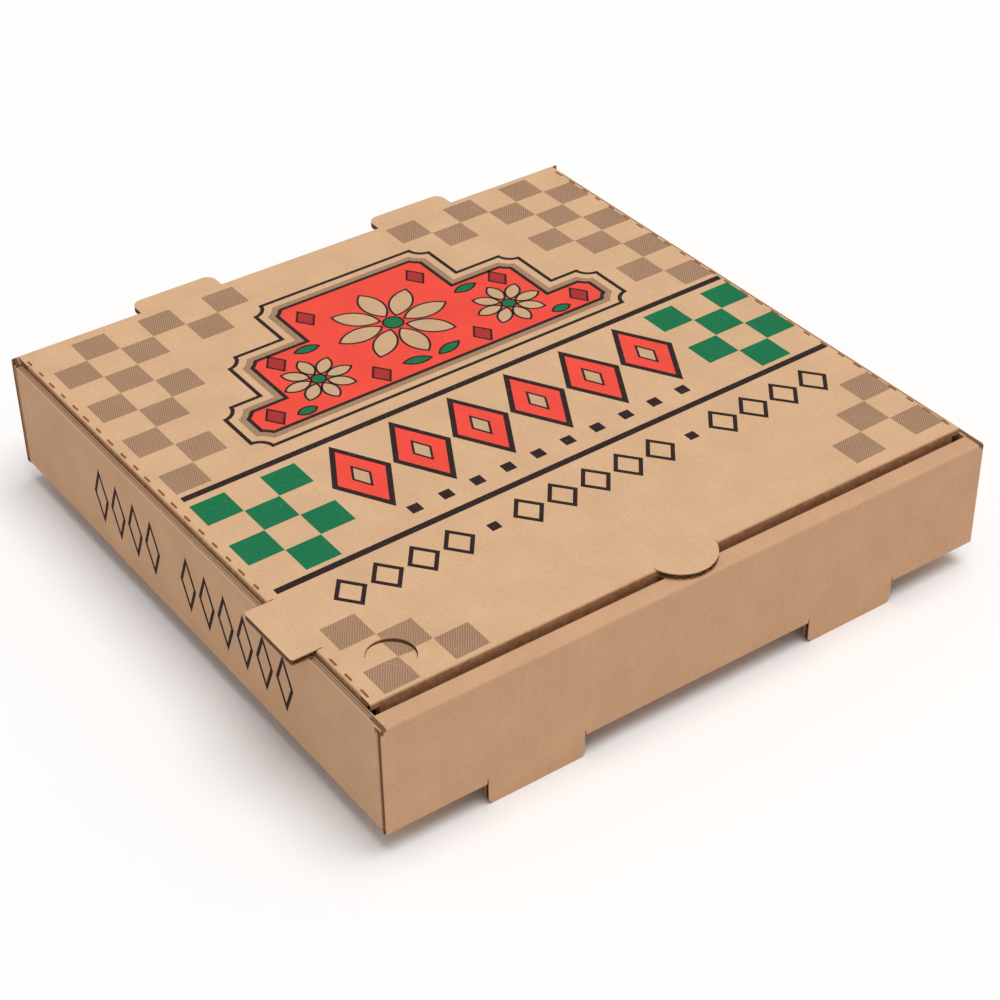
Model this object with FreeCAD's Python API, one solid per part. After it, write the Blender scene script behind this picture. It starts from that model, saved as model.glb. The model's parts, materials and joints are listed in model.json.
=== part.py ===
"""Pizza box: one die-cut corrugated blank, folded into a tray with a hinged lid.

Millimetres. +Z up, the opening edge towards -Y and the hinge fold towards +Y.
The origin is the centre of the bottom panel's outer face.
"""
import FreeCAD, Part
import math
import os

Vector = FreeCAD.Vector

# Board
board = 3.0                  # thickness of the corrugated board
fold_radius = 1.2            # outer radius of a creased fold
liner = 0.45                 # paper facing on each side of the flutes
flute_paper = 0.3            # thickness of the fluted paper between the facings
flute_pitch = 6.35           # the flutes run from front to rear on the flat blank
flute_crest = 1.3            # flat width of a flute's crest, where a facing is glued to it
glue_depth = 0.08            # how far a crest is pressed into its facing
edge_groove = 1.2            # how deep a cut edge is open between the facings
kerf = 0.6                   # free width round every punched tab
layer_gap = 0.2              # clearance between two layers of board that lie face to face

# Tray
box_width = 311.0
box_depth = 310.0
wall_height = 54.0
corner_flap_length = 52.0    # how far a side wall's end turns in behind the front or rear wall
corner_flap_drop = 3.5       # from the wall's top edge to the flap's
corner_flap_taper = 6.0      # how much lower the flap's free end is than its fold

# Feet and lock of the front wall
foot_width = 47.5
foot_spacing = 167.5         # between the middles of the two feet
foot_drop = 10.5             # below the bottom panel
foot_corner = 3.0
lock_play = 1.0              # free length at each end of a locking tab in its slot

# Lid
lid_side_gap = 0.4           # between a lid flap and the side wall it slides down inside
lid_front_gap = 0.45         # least distance of the front flap from the tray while the lid swings
lid_flap_drop = 35.0         # depth of the lid's flaps, measured from its top
lid_flap_inset = 4.0         # from the lid's side folds to the front flap's ends
lid_flap_corner = 9.0        # rounding of the front flap's lower corners
side_flap_front_gap = 4.0    # between the front flap and a side flap's front end
side_flap_rear_gap = 4.0     # between a rear corner flap and a side flap's rear end
side_flap_taper = 14.0       # how much a side flap's ends slope in towards its lower edge
hinge_gap = 0.15             # between the mitred halves of the hinge fold

# Tabs of the lid; the side tab is on its left
rear_tab_width = 43.5
rear_tab_spacing = 133.5     # between the middles of the two rear tabs
rear_tab_reach = 10.0        # beyond the rear wall
rear_tab_corner = 5.0
side_tab_width = 36.0
side_tab_setback = 69.0      # from the box's front to the middle of the side tab
side_tab_reach = 7.3         # beyond the side wall
side_tab_corner = 1.5
thumb_radius = 16.3
thumb_setback = 1.0          # from the box's front to the edge of the thumb tab

# Vent, a round tongue pushed in at the left front corner of the lid
vent_radius = 10.0
vent_from_side = 25.4        # from the tray's left face to the vent's centre
vent_from_front = 31.3       # from the tray's front face to the vent's centre
vent_kerf = 0.3
vent_hinge_angle = 215.0     # direction from the vent's centre to its crease, from +X
vent_hinge_half_arc = 61.0   # half of the arc that stays uncut
vent_rest_angle = 7.0        # how far the tongue is pushed in
vent_full_angle = 70.0       # how far it can be pushed in
vent_groove_spare = 2.0      # degrees by which its crease's groove is wider than that

# A cutting block reaches this far past what it cuts
spare = 1.0

# Derived places
left, right = -box_width / 2, box_width / 2
front, rear = -box_depth / 2, box_depth / 2
lid_top = wall_height + board
layer = board + 2 * layer_gap                      # room for one board between two others
rollover = 2 * board + layer                       # depth of the double front wall
lid_half = box_width / 2 - board - lid_side_gap
flap_plane_front = front + board + layer_gap       # outer face of a front corner flap
flap_plane_rear = rear - board - layer_gap         # outer face of a rear corner flap
crease = fold_radius * (1 - 1 / math.sqrt(2))      # from a fold's sharp corner to its rounding
hinge = (rear - crease, lid_top - crease)          # the lid turns about this line along X


def swing_room(reach, drop):
    """How far forward a lower corner moves while it turns about the hinge."""
    return math.hypot(reach, drop) - reach


flap_reach = box_depth - rollover - crease
lid_front = front + rollover + lid_front_gap + swing_room(flap_reach, lid_flap_drop - crease)
rear_notch_floor = hinge[1] - math.hypot(rear_tab_reach + crease, board - crease) - kerf
feet = (-foot_spacing / 2, foot_spacing / 2)
rear_tabs = (-rear_tab_spacing / 2, rear_tab_spacing / 2)
side_tab_middle = front + side_tab_setback
thumb_centre = Vector(0, front + thumb_setback + thumb_radius, 0)
vent_centre = Vector(left + vent_from_side, front + vent_from_front, 0)


def in_yz(u, v):
    return Vector(0, u, v)


def in_xz(u, v):
    return Vector(u, 0, v)


def in_xy(u, v):
    return Vector(u, v, 0)


def unit(start, end):
    length = math.hypot(end[0] - start[0], end[1] - start[1])
    return (end[0] - start[0]) / length, (end[1] - start[1]) / length


def rounded_path(points, radii, plane):
    """Edges along an open path, with an arc in place of each inner corner."""
    edges = []
    last = points[0]
    for i in range(1, len(points) - 1):
        corner, radius = points[i], radii[i - 1]
        if radius <= 0:
            edges.append(Part.LineSegment(plane(*last), plane(*corner)).toShape())
            last = corner
            continue
        to_last, to_next = unit(corner, points[i - 1]), unit(corner, points[i + 1])
        half = math.acos(to_last[0] * to_next[0] + to_last[1] * to_next[1]) / 2
        setback = radius / math.tan(half)
        begin = [corner[k] + setback * to_last[k] for k in (0, 1)]
        end = [corner[k] + setback * to_next[k] for k in (0, 1)]
        bisector = unit((0, 0), (to_last[0] + to_next[0], to_last[1] + to_next[1]))
        depth = radius / math.sin(half) - radius
        middle = [corner[k] + depth * bisector[k] for k in (0, 1)]
        edges.append(Part.LineSegment(plane(*last), plane(*begin)).toShape())
        edges.append(Part.Arc(plane(*begin), plane(*middle), plane(*end)).toShape())
        last = end
    edges.append(Part.LineSegment(plane(*last), plane(*points[-1])).toShape())
    return edges


def rounded_face(points, radii, plane):
    """A closed outline; radii holds one rounding for each point."""
    start = [(points[0][k] + points[-1][k]) / 2 for k in (0, 1)]
    edges = rounded_path([start] + list(points) + [start], radii, plane)
    return Part.Face(Part.Wire(Part.__sortEdges__(edges)))


def moved_left(path, distance):
    """An open path moved to its left, mitred at its corners."""
    moved = []
    for i, corner in enumerate(path):
        sides = []
        if i > 0:
            along = unit(path[i - 1], corner)
            sides.append((-along[1], along[0]))
        if i < len(path) - 1:
            along = unit(corner, path[i + 1])
            sides.append((-along[1], along[0]))
        first, last = sides[0], sides[-1]
        scale = distance / (1 + first[0] * last[0] + first[1] * last[1])
        moved.append([corner[k] + scale * (first[k] + last[k]) for k in (0, 1)])
    return moved


def folded_board(path, plane, sweep, facing=0.0):
    """Board folded along a path of its outer face, which keeps the board on its left.

    A facing leaves out that much of the thickness on both sides, down to the fluted core.
    """
    points = moved_left(path, facing) + moved_left(path, board - facing)[::-1]
    radii = [0] + [fold_radius - facing] * (len(path) - 2) + [0] + [0] * len(path)
    return rounded_face(points, radii, plane).extrude(sweep)


def flutes(begin, end, through):
    """Section of the fluted paper about a board's middle plane, from begin to end along X.

    Through is the unit vector across the board. The face is swept along the flutes.
    """
    crest = board / 2 - liner - flute_paper / 2 + glue_depth
    count = math.ceil((end - begin) / flute_pitch) + 1
    path = []
    for k in range(count):
        start = (begin + end - flute_crest) / 2 + (k - count / 2) * flute_pitch
        trough = start + flute_pitch / 2
        path += [(start, crest), (start + flute_crest, crest),
                 (trough, -crest), (trough + flute_crest, -crest)]
    sides = moved_left(path, flute_paper / 2) + moved_left(path, -flute_paper / 2)[::-1]
    corners = [Vector(u, 0, 0) + through * v for u, v in sides]
    return Part.Face(Part.makePolygon(corners + corners[:1]))


def edge_opening(outline, inner, through, fluted):
    """What is open between the facings of a flat piece of board, from an outline to one inside it.

    Both are faces in one surface of the board, and through is the unit vector to the other surface.
    The flutes run across X.
    """
    opening = outline.cut(inner).extrude(through * (board - 2 * liner))
    opening.translate(through * liner)
    if not fluted:
        return opening
    box = outline.BoundBox
    paper = flutes(box.XMin, box.XMax, through).extrude(Vector(0, box.YLength, box.ZLength))
    paper.translate(Vector(0, box.YMin, box.ZMin) + through * board / 2)
    return opening.cut(paper)


def cut_board(outline, through, fluted):
    """A flat piece of board, open between its facings along its cut edges."""
    opening = edge_opening(outline, outline.makeOffset2D(-edge_groove), through, fluted)
    return outline.extrude(through * board).cut(opening)


def block(x_range, y_range, z_range):
    size = [max(r) - min(r) for r in (x_range, y_range, z_range)]
    corner = Vector(min(x_range), min(y_range), min(z_range))
    return Part.makeBox(size[0], size[1], size[2], corner)


def mirrored(shape):
    """The same shape on the other side of the box."""
    return shape.mirror(Vector(0, 0, 0), Vector(1, 0, 0))


def about(middle, width, margin=0.0):
    return middle - width / 2 - margin, middle + width / 2 + margin


def mitre_wedge(side, offset):
    """A wedge on one side of the hinge fold's mitre plane: +1 the lid's side, -1 the wall's."""
    size = 4 * board
    shift = offset / math.sqrt(2)
    y, z = rear + side * shift, lid_top - side * shift
    corners = [(y + size, z + size), (y - size, z - size), (y - side * size, z + side * size)]
    wire = Part.makePolygon([Vector(left - board, *c) for c in corners + corners[:1]])
    return Part.Face(wire).extrude(Vector(box_width + 2 * board, 0, 0))


def end_grooves(path, half_width):
    """The open core at both ends of board that is folded along a path and reaches from -X to +X."""
    groove = folded_board(path, in_yz, Vector(edge_groove, 0, 0), liner)
    groove.translate(Vector(-half_width, 0, 0))
    return [groove, mirrored(groove)]


def tray_walls():
    """Bottom, double front wall and rear wall, folded from front to rear."""
    stub = 2 * board
    path = [
        (front + rollover, board + layer_gap), (front + rollover, wall_height), (front, wall_height),
        (front, 0), (rear, 0), (rear, lid_top), (rear - stub, lid_top),
    ]
    strip = folded_board(path, in_yz, Vector(box_width, 0, 0))
    strip.translate(Vector(left, 0, 0))
    strip = strip.cut([mitre_wedge(1, 0)] + end_grooves(path, -left))
    middle = (flap_plane_front, flap_plane_rear)
    for x_range in ((left - spare, left + stub), (right - stub, right + spare)):
        strip = strip.cut(block(x_range, middle, (-spare, board)))
    return strip


def side_walls():
    """The bottom's side folds and the two side walls, then the walls' turned-in ends."""
    path = [(left, wall_height), (left, 0), (right, 0), (right, wall_height)]
    length = flap_plane_rear - flap_plane_front
    shape = folded_board(path, in_xz, Vector(0, length, 0))
    shape.translate(Vector(0, flap_plane_front, 0))
    across = (left - spare, right + spare)
    corner_room = block(across, (flap_plane_front, flap_plane_rear), (board + layer_gap, lid_top))
    ends = block(across, (flap_plane_front + fold_radius, flap_plane_rear - fold_radius), (0, lid_top))
    groove = block((left + liner, left + board - liner), (flap_plane_front, flap_plane_rear),
                   (wall_height - edge_groove, lid_top))
    shape = shape.cut([corner_room.cut(ends), groove, mirrored(groove)])
    for band in (corner_flaps(), mirrored(corner_flaps())):
        shape = shape.fuse(band)
    return shape


def corner_flaps():
    """Left side wall seen from above, with its two ends turned in as corner flaps."""
    tip = left + corner_flap_length
    path = [(tip, flap_plane_rear), (left, flap_plane_rear), (left, flap_plane_front),
            (tip, flap_plane_front)]
    bottom = board + layer_gap
    top = wall_height - corner_flap_drop
    band, core = [folded_board(path, in_xy, Vector(0, 0, top - bottom), facing) for facing in (0, liner)]
    for shape in (band, core):
        shape.translate(Vector(0, 0, bottom))
    tip_groove = block((tip - edge_groove, tip), (front, rear), (bottom, top))
    groove = core.common(above_corner_flap(tip, top - edge_groove).fuse(tip_groove))
    return band.cut([above_corner_flap(tip, top), groove])


def above_corner_flap(tip, height):
    """The space over a corner flap, whose upper edge starts at some height and slopes down to its tip."""
    slope_start = left + 2 * board
    corners = [(left, height), (slope_start, height), (tip, height - corner_flap_taper),
               (tip, lid_top), (left, lid_top)]
    wire = Part.makePolygon([Vector(x, front, z) for x, z in corners + corners[:1]])
    return Part.Face(wire).extrude(Vector(0, box_depth, 0))


def foot_and_lock(middle):
    """A foot cut out of the bottom, the slot it leaves, and the tab that locks in the slot."""
    slot = block(about(middle, foot_width, kerf), (front - spare, front + foot_drop), (-spare, board))
    half = foot_width / 2
    outline = [(middle - half, 2 * board), (middle - half, -foot_drop), (middle + half, -foot_drop),
               (middle + half, 2 * board)]
    foot = rounded_face(outline, [0, foot_corner, foot_corner, 0], in_xz)
    foot = cut_board(foot, Vector(0, 1, 0), True)
    foot.translate(Vector(0, front, 0))
    lock = block(about(middle, foot_width, -lock_play), (front + rollover - board, front + rollover),
                 (0, 2 * board))
    return slot, foot, lock


def make_tray():
    shape = tray_walls().fuse(side_walls())
    for middle in feet:
        slot, foot, lock = foot_and_lock(middle)
        shape = shape.cut(slot).fuse([foot, lock])
    for middle in rear_tabs:
        shape = shape.cut(rear_notch(middle))
    return shape.removeSplitter()


def rear_notch(middle):
    """The cut-out in the rear wall that a rear tab comes from, and the open core round it."""
    half = rear_tab_width / 2 + kerf
    outline = [(middle - half, lid_top), (middle - half, rear_notch_floor),
               (middle + half, rear_notch_floor), (middle + half, lid_top)]
    notch = rounded_face(outline, [0, rear_tab_corner, rear_tab_corner, 0], in_xz)
    notch.translate(Vector(0, rear - board, 0))
    opening = edge_opening(notch.makeOffset2D(edge_groove), notch, Vector(0, 1, 0), True)
    below_fold = block((left, right), (rear - board, rear), (0, wall_height))
    return [notch.extrude(Vector(0, board, 0)), opening.common(below_fold)]


def lid_panel_and_front_flap():
    stub = lid_top - 2 * board
    path = [(rear, stub), (rear, lid_top), (lid_front, lid_top), (lid_front, stub)]
    strip = folded_board(path, in_yz, Vector(2 * lid_half, 0, 0))
    strip.translate(Vector(-lid_half, 0, 0))
    strip = strip.cut([mitre_wedge(-1, hinge_gap)] + end_grooves(path, lid_half))
    half = lid_half - lid_flap_inset
    beside = block((-lid_half, -half), (lid_front, lid_front + board), (stub, wall_height))
    low = lid_top - lid_flap_drop
    outline = [(-half, wall_height), (-half, low), (half, low), (half, wall_height)]
    flap = rounded_face(outline, [0, lid_flap_corner, lid_flap_corner, 0], in_xz)
    flap = cut_board(flap, Vector(0, 1, 0), False)
    flap.translate(Vector(0, lid_front, 0))
    return strip.cut([beside, mirrored(beside)]).fuse(flap)


def lid_side_flaps():
    """The lid's side folds with a dust flap down inside each side wall."""
    begin = lid_front + board + side_flap_front_gap
    end = flap_plane_rear - board - side_flap_rear_gap
    low, stub = lid_top - lid_flap_drop, lid_top - 2 * board
    path = [(lid_half, stub), (lid_half, lid_top), (-lid_half, lid_top), (-lid_half, stub)]
    folds = folded_board(path, in_xz, Vector(0, end - begin, 0))
    folds.translate(Vector(0, begin, 0))
    outline = [(begin, wall_height), (begin, stub), (begin + side_flap_taper, low),
               (end - side_flap_taper, low), (end, stub), (end, wall_height)]
    flap = cut_board(rounded_face(outline, [0] * len(outline), in_yz), Vector(1, 0, 0), False)
    flap.translate(Vector(-lid_half, 0, 0))
    return folds.fuse([flap, mirrored(flap)]), (begin, end)


def lid_tab(points, radii):
    """A tab in the plane of the lid."""
    tab = cut_board(rounded_face(points, radii, in_xy), Vector(0, 0, 1), True)
    tab.translate(Vector(0, 0, wall_height))
    return tab


def rear_tab(middle):
    half = rear_tab_width / 2
    root = rear - 2 * board
    points = [(middle - half, root), (middle + half, root), (middle + half, rear + rear_tab_reach),
              (middle - half, rear + rear_tab_reach)]
    return lid_tab(points, [0, 0, rear_tab_corner, rear_tab_corner])


def side_tab():
    """The side tab, and the room that it leaves in the left side flap below it."""
    half = side_tab_width / 2
    outer = left - side_tab_reach
    root = -lid_half + 2 * board
    points = [(root, side_tab_middle - half), (root, side_tab_middle + half),
              (outer, side_tab_middle + half), (outer, side_tab_middle - half)]
    tab = lid_tab(points, [0, 0, side_tab_corner, side_tab_corner])
    drop = -lid_half - outer + kerf
    room = block((-lid_half, -lid_half + board), about(side_tab_middle, side_tab_width, kerf),
                 (lid_top - drop, lid_top))
    return tab, room


def thumb_tab():
    """A round tab at the front, and the round piece that it leaves out of the front flap."""
    circle = Part.Wire(Part.makeCircle(thumb_radius, thumb_centre))
    tab = cut_board(Part.Face(circle), Vector(0, 0, 1), True)
    tab.translate(Vector(0, 0, wall_height))
    above_fold = thumb_centre.y - lid_front
    room = Part.makeCylinder(thumb_radius + kerf, board, Vector(0, lid_front, lid_top + above_fold),
                             Vector(0, 1, 0))
    return tab, room


def half_space(point, normal, size):
    """A large block that fills the side of a plane to which its normal points."""
    shape = Part.makeBox(size, size, size, Vector(-size / 2, -size / 2, 0))
    shape.Placement = FreeCAD.Placement(point, FreeCAD.Rotation(Vector(0, 0, 1), normal))
    return shape


def crease_groove(crease_middle, towards, axis, depth, back, half_length):
    """The lid's half of the V-groove below the vent's crease, from some depth down.

    It reaches back under the tongue's sides, which swing below the crease.
    """
    slope = math.tan(math.radians((vent_full_angle + vent_groove_spare) / 2))
    low = board + spare
    section = [(-back, depth), (slope * depth, depth), (slope * low, low), (-back, low)]
    if depth == 0:
        section = section[1:]
    start = crease_middle - axis * half_length
    points = [start + towards * out - Vector(0, 0, down) for out, down in section]
    return Part.Face(Part.makePolygon(points + points[:1])).extrude(axis * 2 * half_length)


def vent_parts():
    """The vent's hole in the lid, and the tongue that hangs in it by its crease.

    The crease keeps the upper facing whole. Below it the board is crushed to a V-groove, half of it in
    the lid and half in the tongue, which closes when the tongue is pushed right in.
    """
    size = 4 * vent_radius
    direction = math.radians(vent_hinge_angle)
    towards = Vector(math.cos(direction), math.sin(direction), 0)
    axis = Vector(towards.y, -towards.x, 0)
    apothem = vent_radius * math.cos(math.radians(vent_hinge_half_arc))
    crease_middle = vent_centre + towards * apothem + Vector(0, 0, lid_top)
    open_radius = vent_radius + vent_kerf
    open_half_length = math.sqrt(open_radius ** 2 - apothem ** 2)
    bottom = vent_centre + Vector(0, 0, wall_height)
    hole = Part.makeCylinder(open_radius, board, bottom).cut(half_space(crease_middle, towards, size))
    hole = hole.fuse([crease_groove(crease_middle, towards, axis, 0, 0, open_half_length),
                      crease_groove(crease_middle, towards, axis, liner, apothem, open_radius)])
    lean = math.radians((vent_full_angle + vent_groove_spare) / 2)
    bevel = towards * math.cos(lean) - Vector(0, 0, math.sin(lean))
    tongue = Part.makeCylinder(vent_radius, board, bottom).cut(half_space(crease_middle, bevel, size))
    tongue.rotate(crease_middle, axis, vent_rest_angle)
    return hole, tongue, crease_middle, axis


def make_lid_and_vent():
    flaps, (begin, end) = lid_side_flaps()
    shape = lid_panel_and_front_flap()
    side_strip = block((-lid_half - spare, -lid_half + 2 * board), (begin, end),
                       (wall_height - spare, lid_top + spare))
    shape = shape.cut([side_strip, mirrored(side_strip)])
    shape = shape.fuse(flaps)
    tab, room = side_tab()
    shape = shape.cut(room).fuse(tab)
    tab, room = thumb_tab()
    shape = shape.cut(room).fuse([tab] + [rear_tab(middle) for middle in rear_tabs])
    hole, tongue, crease_middle, axis = vent_parts()
    shape = shape.cut(hole)
    return shape.removeSplitter(), tongue, crease_middle, axis


os.makedirs("parts", exist_ok=True)
tray = make_tray()
lid, vent_flap, vent_crease, vent_axis = make_lid_and_vent()
for name, shape in {"tray": tray, "lid": lid, "vent_flap": vent_flap}.items():
    box = shape.BoundBox
    print(name, "valid", shape.isValid(), "solids", len(shape.Solids), "volume", round(shape.Volume),
          "x", round(box.XMin, 2), round(box.XMax, 2), "y", round(box.YMin, 2), round(box.YMax, 2),
          "z", round(box.ZMin, 2), round(box.ZMax, 2))
    shape.exportStep("parts/" + name + ".step")
print("hinge line y, z", hinge, "lid front", lid_front, "lid half width", lid_half)
print("vent crease", vent_crease, "axis", vent_axis)
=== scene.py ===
"""Looks of a folding pizza box: brown corrugated board, its print, creases and cut edges.

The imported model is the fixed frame. Lengths are in metres in the model's own frame: +Z up, the
opening edge towards -Y, the hinge fold towards +Y. MM turns millimetres into metres.
"""
import json
import math
import random

import bmesh
import bpy
from bpy.props import FloatProperty, FloatVectorProperty, PointerProperty
from mathutils import Matrix, Vector, geometry


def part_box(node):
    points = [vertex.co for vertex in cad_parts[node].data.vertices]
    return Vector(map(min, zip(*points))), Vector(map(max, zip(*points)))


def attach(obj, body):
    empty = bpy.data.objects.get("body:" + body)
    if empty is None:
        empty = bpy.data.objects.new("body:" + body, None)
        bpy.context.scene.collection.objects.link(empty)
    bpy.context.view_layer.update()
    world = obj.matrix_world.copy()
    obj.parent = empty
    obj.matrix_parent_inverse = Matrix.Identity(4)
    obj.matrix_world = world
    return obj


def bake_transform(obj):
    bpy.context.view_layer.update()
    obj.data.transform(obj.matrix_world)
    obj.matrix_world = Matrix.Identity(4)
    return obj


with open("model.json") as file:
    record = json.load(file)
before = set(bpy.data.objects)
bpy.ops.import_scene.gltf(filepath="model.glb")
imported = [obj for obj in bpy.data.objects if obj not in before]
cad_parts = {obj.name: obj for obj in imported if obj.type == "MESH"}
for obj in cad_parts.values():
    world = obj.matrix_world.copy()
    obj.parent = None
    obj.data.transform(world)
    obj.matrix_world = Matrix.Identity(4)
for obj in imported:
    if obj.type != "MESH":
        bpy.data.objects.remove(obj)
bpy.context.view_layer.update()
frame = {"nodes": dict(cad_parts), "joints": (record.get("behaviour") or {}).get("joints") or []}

bl_info = {
    "name": "Pizza Box Looks",
    "version": (1, 0, 0),
    "blender": (4, 5, 0),
    "location": "3D View > Sidebar > Pizza Box",
    "description": "Board, print, creases and cut edges of a folding pizza box",
    "category": "Object",
}

MM = 0.001

# Board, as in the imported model
BOARD = 3.0 * MM
FOLD_RADIUS = 1.2 * MM
LINER = 0.45 * MM
LID_SIDE_GAP = 0.4 * MM
LAYER_GAP = 0.2 * MM
EDGE_GROOVE = 1.2 * MM
LID_FRONT = -143.157 * MM

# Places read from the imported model
TRAY_LOW, TRAY_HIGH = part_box("tray")
LEFT, RIGHT = TRAY_LOW.x, TRAY_HIGH.x
FRONT, REAR = TRAY_LOW.y, TRAY_HIGH.y
LID_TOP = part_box("lid")[1].z
WALL_HEIGHT = LID_TOP - BOARD
LID_HALF = RIGHT - BOARD - LID_SIDE_GAP
JOINTS = {joint["name"]: joint for joint in frame["joints"]}
VENT_CREASE = Vector(JOINTS["vent_hinge"]["pos_m"])
VENT_AXIS = Vector(JOINTS["vent_hinge"]["axis"])

# Vent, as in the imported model
VENT_CENTRE = Vector((LEFT + 25.4 * MM, FRONT + 31.3 * MM))
VENT_RADIUS = 10.0 * MM
VENT_KERF = 0.3 * MM
VENT_REST = math.radians(7.0)

# Rear tabs, their notches and the height from which a notch shows the core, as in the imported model
REAR_TAB_MIDDLE = 66.75 * MM
REAR_NOTCH_HALF = 22.35 * MM
REAR_NOTCH_CORE = 43.5 * MM

# Where the side tab breaks the lid's left fold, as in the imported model
SIDE_TAB_REACH = (FRONT + 50.4 * MM, FRONT + 87.6 * MM)

# Ink lies this far above the paper, reaches this far into it, and each layer adds one step
INK_RISE = 0.04 * MM
INK_ROOT = 0.02 * MM
INK_STEP = 0.02 * MM


def paint(red, green, blue):
    """A colour given as it looks on a screen, 0 to 255, in the linear values of a shader."""
    def linear(value):
        share = value / 255
        return share / 12.92 if share <= 0.04045 else ((share + 0.055) / 1.055) ** 2.4
    return linear(red), linear(green), linear(blue)


def colour(name, description, default):
    return FloatVectorProperty(name=name, description=description, default=default,
                               subtype="COLOR", size=3, min=0.0, max=1.0)


def length(name, description, default):
    return FloatProperty(name=name, description=description, default=default, unit="LENGTH", min=0.0)


def share(name, description, default):
    return FloatProperty(name=name, description=description, default=default, subtype="FACTOR",
                         min=0.0, max=1.0)


class BoardLook(bpy.types.PropertyGroup):
    lid_kraft: colour("Lid", "Brown paper of the lid", paint(214, 174, 135))
    # The tray is the same board as the lid, given a darker tone as painted shade
    tray_kraft_shaded: colour("Tray", "Brown paper of the tray", paint(206, 162, 125))
    fibre: colour("Dark fibres", "Darker fibres in the paper", paint(146, 104, 68))
    # The core colour is the fluting's tone darkened with painted shade for its hollows
    core: colour("Core", "Shaded core between the facings", paint(112, 80, 56))
    flute: colour("Flute", "Fluted paper in the side walls' upper edges", paint(160, 130, 102))
    # The crease colour is the cracked paper and the nicks' colour, and also painted shade in the gaps
    # along the lid's folds
    crease: colour("Crease", "Paper where a fold has cracked it", paint(138, 84, 46))
    flute_pitch: length("Flute pitch", "Distance from one flute to the next", 6.35 * MM)
    # The ribs' strength darkens and lightens the colour in stripes: painted shade and highlight
    ribs: share("Ribs", "How strongly the flutes shade the facings", 0.006)


class PrintLook(bpy.types.PropertyGroup):
    red: colour("Red", "Red ink", paint(240, 78, 64))
    deep_red: colour("Deep red", "Red ink over a dark tint", paint(170, 48, 46))
    tan: colour("Tan", "Tint of the motifs on the red field", paint(203, 168, 130))
    green: colour("Green", "Green ink", paint(10, 113, 72))
    black: colour("Black", "Near-black ink", paint(38, 27, 29))
    grey: colour("Grey", "Lines of the grey hatching", paint(150, 117, 94))
    square_width: length("Square width", "Width of a square of the check", 17.2 * MM)
    square_height: length("Square height", "Height of a square of the check", 16.4 * MM)
    rule: length("Rule", "Thickness of the two long rules", 3.5 * MM)
    line: length("Line", "Thickness of the drawn outlines", 1.9 * MM)
    hatch: length("Hatch", "Distance from one line of the grey hatching to the next", 0.95 * MM)
    tint: share("Tint", "How much of the grey lies between the hatching's lines", 0.58)


class StageLook(bpy.types.PropertyGroup):
    floor: colour("Floor", "Colour of the floor", (0.97, 0.97, 0.97))
    sky: FloatProperty(name="Sky", description="Strength of the even light from all round", default=0.4,
                       min=0.0)
    lamp: FloatProperty(name="Lamp", description="Strength of the soft lamp from above", default=2.0,
                        min=0.0)
    lens: FloatProperty(name="Lens", description="Focal length on a 36 mm sensor", default=82.4,
                        subtype="DISTANCE_CAMERA")


# Meshes

# Splitting outlines: the kind of result that keeps only triangles inside them, and the distance in metres
# within which points are one
TRIANGLES_INSIDE = 1
JOIN_DISTANCE = 1e-7

# A mitred corner reaches out no further than this allows
MITRE_LIMIT = 0.35


def new_piece(name, build, material, body):
    """An object whose mesh a function fills in, with its material, riding on a body."""
    shape = bmesh.new()
    build(shape)
    bmesh.ops.recalc_face_normals(shape, faces=shape.faces)
    mesh = bpy.data.meshes.new(name)
    shape.to_mesh(mesh)
    shape.free()
    piece = bpy.data.objects.new(name, mesh)
    bpy.context.scene.collection.objects.link(piece)
    mesh.materials.append(material)
    if body:
        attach(piece, body)
    return piece


class Surface:
    """A flat face of the board: a point on it, and its directions across, up and out."""

    def __init__(self, origin, across, up):
        self.origin, self.across, self.up = Vector(origin), Vector(across), Vector(up)
        self.out = self.across.cross(self.up)

    def point(self, u, v, height):
        return self.origin + self.across * u + self.up * v + self.out * height


LID = Surface((0, 0, LID_TOP), (1, 0, 0), (0, 1, 0))
LEFT_WALL = Surface((LEFT, 0, 0), (0, -1, 0), (0, 0, 1))


# Layout of the print: half its width, its front and rear edges, and where its corners lie on the lid, as
# it isn't printed quite square
PRINT_HALF = 147.2 * MM
PRINT_FRONT, PRINT_REAR = -141.0 * MM, 150.0 * MM
FRONT_CORNERS = [Vector(corner) * MM for corner in ((-146.3, -144.3), (150.7, -137.7))]
REAR_CORNERS = [Vector(corner) * MM for corner in ((-145.6, 148.4), (149.9, 151.6))]


def printed(patch):
    """A patch of the layout as it lies on the lid."""
    points, faces = patch
    places = []
    for u, v in points:
        across = (u + PRINT_HALF) / (2 * PRINT_HALF)
        up = (v - PRINT_FRONT) / (PRINT_REAR - PRINT_FRONT)
        front, rear = (corners[0].lerp(corners[1], across) for corners in (FRONT_CORNERS, REAR_CORNERS))
        places.append(tuple(front.lerp(rear, up)))
    return places, faces


def pushed_in(surface):
    """A surface of the lid as it lies on the vent's tongue, turned down about the crease."""
    turn = Matrix.Rotation(VENT_REST, 3, VENT_AXIS)
    origin = VENT_CREASE + turn @ (surface.origin - VENT_CREASE)
    return Surface(origin, turn @ surface.across, turn @ surface.up)


def add_patch(shape, surface, points, faces, low, high):
    """A closed plate between two heights over a surface, above flat faces that share points."""
    used = sorted({i for face in faces for i in face})
    top = {i: shape.verts.new(surface.point(*points[i], high)) for i in used}
    bottom = {i: shape.verts.new(surface.point(*points[i], low)) for i in used}
    edges = {(face[k - 1], face[k]) for face in faces for k in range(len(face))}
    for face in faces:
        shape.faces.new([top[i] for i in face])
        shape.faces.new([bottom[i] for i in reversed(face)])
    for i, j in sorted(edges):
        if (j, i) not in edges:
            shape.faces.new((top[j], top[i], bottom[i], bottom[j]))


def filled(loop):
    """The flat face within a loop."""
    return loop, [list(range(len(loop)))]


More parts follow.
